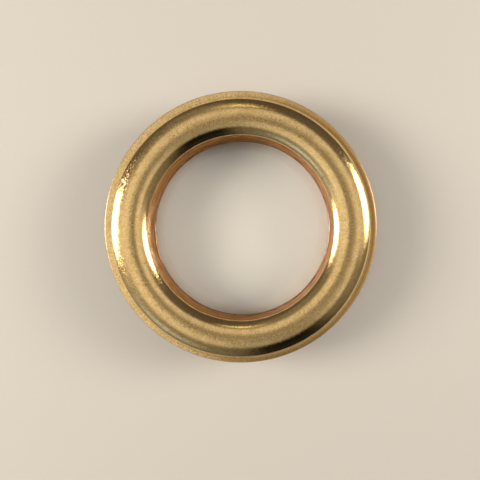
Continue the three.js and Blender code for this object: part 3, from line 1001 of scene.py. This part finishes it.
def spring_faces():
    """The faces between the two grids: both sides, the long edges and the ends."""
    up = SPRING_ROWS + 1
    layer = (SPRING_COLUMNS + 1) * up
    faces = []
    for i in range(SPRING_COLUMNS):
        for k in range(SPRING_ROWS):
            a = i * up + k
            b = a + up
            faces.append((a, b, b + 1, a + 1))
            faces.append((layer + a, layer + a + 1, layer + b + 1, layer + b))
        for k in (0, SPRING_ROWS):
            a = i * up + k
            b = a + up
            faces.append((a, b, layer + b, layer + a))
    for i in (0, SPRING_COLUMNS):
        for k in range(SPRING_ROWS):
            a = i * up + k
            faces.append((a, a + 1, layer + a + 1, layer + a))
    return faces


def spring_hole(angle, height):
    """A cutter for one screw hole in a spring."""
    outline = [
        (0, SPRING_HOLE_START),
        (SPRING_HOLE, SPRING_HOLE_START),
        (SPRING_HOLE, SPRING_HOLE_END),
        (0, SPRING_HOLE_END),
    ]
    return moved(revolved("cutter", outline, SPRING_BRONZE, HOLE_STEPS), radially(angle, height))


def grip_spring(index, angle):
    """One leaf spring: a bowed strip with round ends, softened edges and two screw holes."""
    piece = finished(f"leaf_spring_{index}", spring_points(angle), spring_faces(), SPRING_BRONZE)
    edge = piece.modifiers.new("edge", "BEVEL")
    edge.width = SPRING_EDGE * MM
    edge.segments = SPRING_EDGE_STEPS
    edge.angle_limit = math.radians(SPRING_EDGE_ANGLE)
    subtract(piece, [spring_hole(angle, height) for height in SPRING_SCREW_HEIGHTS])
    return placed(piece, f"clip_{index}", "spring_bronze", f"grip_spring_{index}")


def spring_screw(index, angle, height):
    """A small round-head screw, standing out from the barrel."""
    seat = SPRING_SCREW_SEAT
    side = seat + SPRING_SCREW_HEAD_SIDE
    top = seat + SPRING_SCREW_HEAD_HEIGHT
    dome = arc((0, side), SPRING_SCREW_HEAD, top - side, 0, 90, SCREW_DOME_STEPS)
    piece = revolved(f"clip_screw_{index}", [
        (0, SPRING_SCREW_TIP),
        (SPRING_SCREW_SHANK, SPRING_SCREW_TIP),
        (SPRING_SCREW_SHANK, seat),
        (SPRING_SCREW_HEAD - SPRING_SCREW_CHAMFER, seat),
        (SPRING_SCREW_HEAD, seat + SPRING_SCREW_CHAMFER),
        *dome[:-1],
        (0, top),
    ], SCREW_STEEL, SCREW_STEPS)
    subtract(piece, [block(SPRING_SLOT, (0, 0, top), SPRING_SLOT_STEP * index)])
    moved(piece, radially(angle, height))
    return placed(piece, "mount", "screw_steel", f"spring_screw_{index}")


def carried_over():
    """The hidden CAD pieces keep their shape and get a finished material."""
    for node, material in (
        ("backing_ring", TURNED_BRASS),
        ("seat_gasket", BLACK_PAPER),
        ("wave_washer", SPRING_BRONZE),
    ):
        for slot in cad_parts[node].material_slots:
            slot.link = "OBJECT"
            slot.material = material


# ---- stage -------------------------------------------------------------------------------------------------

# the room by azimuth: (azimuth, red, green, blue)
CEILING = [
    (0, 0.92, 0.93, 0.90),
    (30, 0.84, 0.85, 0.81),
    (60, 0.72, 0.73, 0.70),
    (120, 0.76, 0.76, 0.71),
    (150, 0.87, 0.87, 0.81),
    (180, 0.98, 0.98, 0.93),
    (210, 0.96, 0.97, 0.91),
    (245, 0.78, 0.79, 0.76),
    (275, 0.42, 0.44, 0.44),
    (300, 0.34, 0.35, 0.35),
    (330, 0.72, 0.73, 0.71),
    (359, 0.92, 0.93, 0.90),
]
WALLS = [
    (0, 0.80, 0.79, 0.75),
    (18, 0.68, 0.67, 0.63),
    (38, 0.15, 0.14, 0.14),
    (75, 0.12, 0.11, 0.10),
    (120, 0.26, 0.26, 0.24),
    (150, 0.22, 0.22, 0.20),
    (168, 0.80, 0.80, 0.74),
    (190, 0.95, 0.95, 0.88),
    (212, 0.44, 0.44, 0.42),
    (245, 0.25, 0.26, 0.26),
    (268, 0.17, 0.17, 0.16),
    (281, 0.01, 0.01, 0.01),
    (303, 0.01, 0.01, 0.01),
    (320, 0.20, 0.20, 0.18),
    (340, 0.30, 0.29, 0.27),
    (359, 0.80, 0.79, 0.75),
]
HORIZON = [
    (0, 0.26, 0.25, 0.23),
    (60, 0.10, 0.10, 0.10),
    (150, 0.15, 0.15, 0.14),
    (180, 0.36, 0.36, 0.34),
    (203, 0.40, 0.41, 0.40),
    (225, 0.27, 0.28, 0.28),
    (242, 0.22, 0.23, 0.23),
    (262, 0.18, 0.20, 0.22),
    (283, 0.02, 0.02, 0.02),
    (303, 0.02, 0.02, 0.02),
    (330, 0.22, 0.21, 0.20),
    (359, 0.26, 0.25, 0.23),
]
CAMERA_COLOUR = (0.405, 0.395, 0.385)

# where one part of the room ends and the next begins, as angles from overhead, and how soft each edge is
CAMERA_EDGE, CAMERA_BLUR = 13.5, 6
CEILING_EDGE, CEILING_BLUR = 39, 7
WALL_EDGE, WALL_BLUR = 61, 4

# soft patches in the room: (azimuth, angle from overhead, width, height, colour)
LAMP = (91, 47.5, 38, 13, (1.3, 1.25, 0.76))
WINDOW = (229, 60, 66, 20, (0.64, 0.81, 1.0))

# (name, azimuth, elevation, width, height, watts, whether it shows in reflections)
SOFTBOXES = [
    ("left_softbox", 177, 28, 230, 195, 1.4, True),
    ("left_softbox_rim", 177, 28, 350, 290, 0.5, True),
    ("right_softbox", 12, 25, 245, 192, 1.65, True),
    ("right_softbox_rim", 11, 25, 355, 285, 0.5, True),
    ("left_floor_light", 176, 32, 320, 320, 2.6, False),
    ("right_floor_light", 11, 32, 320, 320, 1.2, False),
]
SOFTBOX_DISTANCE = 600
WARM_WHITE = (1.0, 0.97, 0.92)

FLOOR_SIZE = 6000
CAMERA_HEIGHT = 142
NEAREST_SEEN = 5
FOCAL_LENGTH = 38.0
SENSOR_WIDTH = 36
SHIFT_X = -0.005
SHIFT_Y = -0.025


def camera():
    """The photograph's view: straight down the axis."""
    data = bpy.data.cameras.new("camera")
    data.lens = FOCAL_LENGTH
    data.sensor_width = SENSOR_WIDTH
    data.shift_x = SHIFT_X
    data.shift_y = SHIFT_Y
    data.clip_start = NEAREST_SEEN * MM
    view = bpy.data.objects.new("camera", data)
    view.location = (0, 0, CAMERA_HEIGHT * MM)
    bpy.context.collection.objects.link(view)
    bpy.context.scene.camera = view


def floor():
    """The plain pale table."""
    bpy.ops.mesh.primitive_plane_add(size=FLOOR_SIZE * MM)
    plane = bpy.context.object
    plane.name = "floor"
    plane.data.materials.append(pale_floor())


def direction(azimuth, elevation):
    """The unit vector towards an azimuth and an elevation."""
    a, e = math.radians(azimuth), math.radians(elevation)
    return Vector((math.cos(a) * math.cos(e), math.sin(a) * math.cos(e), math.sin(e)))


def softbox(name, azimuth, elevation, width, height, power, in_reflections):
    """An oval softbox that faces the object. One that stays out of reflections only lights dull surfaces."""
    data = bpy.data.lights.new(name, "AREA")
    data.shape = "ELLIPSE"
    data.size = width * MM
    data.size_y = height * MM
    data.energy = power
    data.color = WARM_WHITE
    light = bpy.data.objects.new(name, data)
    away = direction(azimuth, elevation)
    light.location = away * SOFTBOX_DISTANCE * MM
    light.rotation_mode = "QUATERNION"
    light.rotation_quaternion = away.to_track_quat("Z", "Y")
    light.visible_glossy = in_reflections
    bpy.context.collection.objects.link(light)


def ringed(n, turn, levels):
    """A colour that changes with azimuth, from (azimuth, red, green, blue) stops. turn goes from 0 to 1."""
    ramp = n.tree.nodes.new("ShaderNodeValToRGB")
    ramp.color_ramp.interpolation = "EASE"
    n.feed(turn, ramp.inputs["Fac"])
    elements = ramp.color_ramp.elements
    stops = [(angle / 360, (*colour, 1)) for angle, *colour in levels]
    for element, (place, colour) in zip(elements, (stops[0], stops[-1])):
        element.position = place
        element.color = colour
    for place, colour in stops[1:-1]:
        elements.new(place).color = colour
    return ramp.outputs["Color"]


def studio():
    """A soft room: a grey patch overhead where the camera hangs, a bright ceiling round it and dim walls."""
    world = bpy.data.worlds.new("studio")
    bpy.context.scene.world = world
    world.use_nodes = True
    n = Nodes(world.node_tree)
    aim = n.tree.nodes.new("ShaderNodeSeparateXYZ")
    n.feed(n.tree.nodes.new("ShaderNodeTexCoord").outputs["Generated"], aim.inputs["Vector"])
    angle = n.math("ARCTAN2", aim.outputs["Y"], aim.outputs["X"])
    turn = n.math("FRACT", n.math("DIVIDE", angle, 2 * math.pi))
    azimuth = n.times(turn, 360)
    zenith = n.math("DEGREES", n.math("ARCCOSINE", aim.outputs["Z"]))
    ceiling, walls, horizon = (ringed(n, turn, levels) for levels in (CEILING, WALLS, HORIZON))
    walls = n.mix(n.rise(zenith, WALL_EDGE, WALL_BLUR), walls, horizon)
    room = n.mix(n.rise(zenith, CEILING_EDGE, CEILING_BLUR), ceiling, walls)
    for centre, middle, width, height, colour in (LAMP, WINDOW):
        aside = n.math("ABSOLUTE", n.math("SUBTRACT", azimuth, centre))
        above = n.math("ABSOLUTE", n.math("SUBTRACT", zenith, middle))
        room = n.mix(n.times(n.remap(aside, width / 2, 0), n.remap(above, height / 2, 0)), room, colour)
    sky = n.mix(n.rise(zenith, CAMERA_EDGE, CAMERA_BLUR), CAMERA_COLOUR, room)
    n.feed(sky, n.tree.nodes["Background"].inputs["Color"])


def stage():
    """The camera, the table, the room and the lights."""
    camera()
    floor()
    studio()
    for row in SOFTBOXES:
        softbox(*row)
    bpy.context.scene.view_settings.view_transform = "Standard"


# ---- the scene ---------------------------------------------------------------------------------------------

bezel_shell()
flange_plate()
barrel_tube()
retainer()
meniscus()
felt()
for number, angle in enumerate(FLANGE_SCREW_ANGLES, 1):
    flange_screw(number, angle)
for number, angle in enumerate(SPRING_ANGLES):
    grip_spring(number + 1, angle)
    first = len(SPRING_SCREW_HEIGHTS) * number + 1
    for screw, height in enumerate(SPRING_SCREW_HEIGHTS, first):
        spring_screw(screw, angle, height)
carried_over()
stage()
